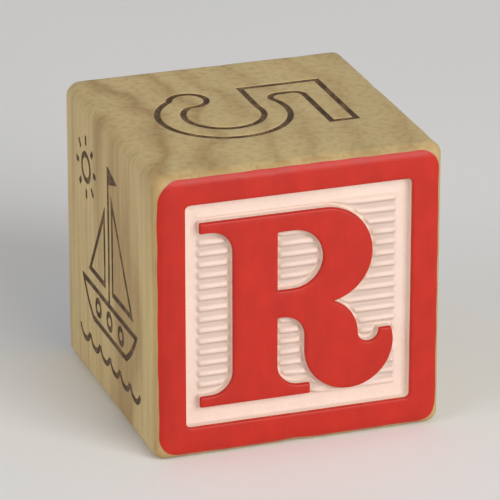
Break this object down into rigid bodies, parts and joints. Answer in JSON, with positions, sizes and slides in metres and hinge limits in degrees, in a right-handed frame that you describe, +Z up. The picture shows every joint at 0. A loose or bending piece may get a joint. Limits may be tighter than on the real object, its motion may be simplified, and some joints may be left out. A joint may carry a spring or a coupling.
{
  "type": "alphabet block",
  "caption": "Wooden toy cube with eased edges, painted relief letters on two opposite faces and stamped line pictures on the others.",
  "frame": {"origin": "centre of the bottom face, on the surface that the block stands on", "axes": "+Z up to the face with the digit 5, -Y to the front face with the letter R, -X to the face with the boat"},
  "size_m": [0.03, 0.03, 0.03],
  "materials": {
    "wood": "bare sanded light wood with fine growth rings",
    "red_paint": "satin enamel coat, thin over the wood's grain",
    "blue_paint": "satin enamel coat, thin over the wood's grain",
    "pale_paint": "matt off-white base coat",
    "brown_ink": "matt dark brown stamping ink"
  },
  "bodies": {
    "root": {"wood_block": "wood", "frame_paint_front": "red_paint", "letter_paint_front": "red_paint", "ground_paint_front": "pale_paint", "frame_paint_back": "blue_paint", "letter_paint_back": "blue_paint", "ground_paint_back": "pale_paint", "digit_ink_top": "brown_ink", "digit_ink_bottom": "brown_ink", "picture_ink_left": "brown_ink", "picture_ink_right": "brown_ink"}
  },
  "joints": []
}
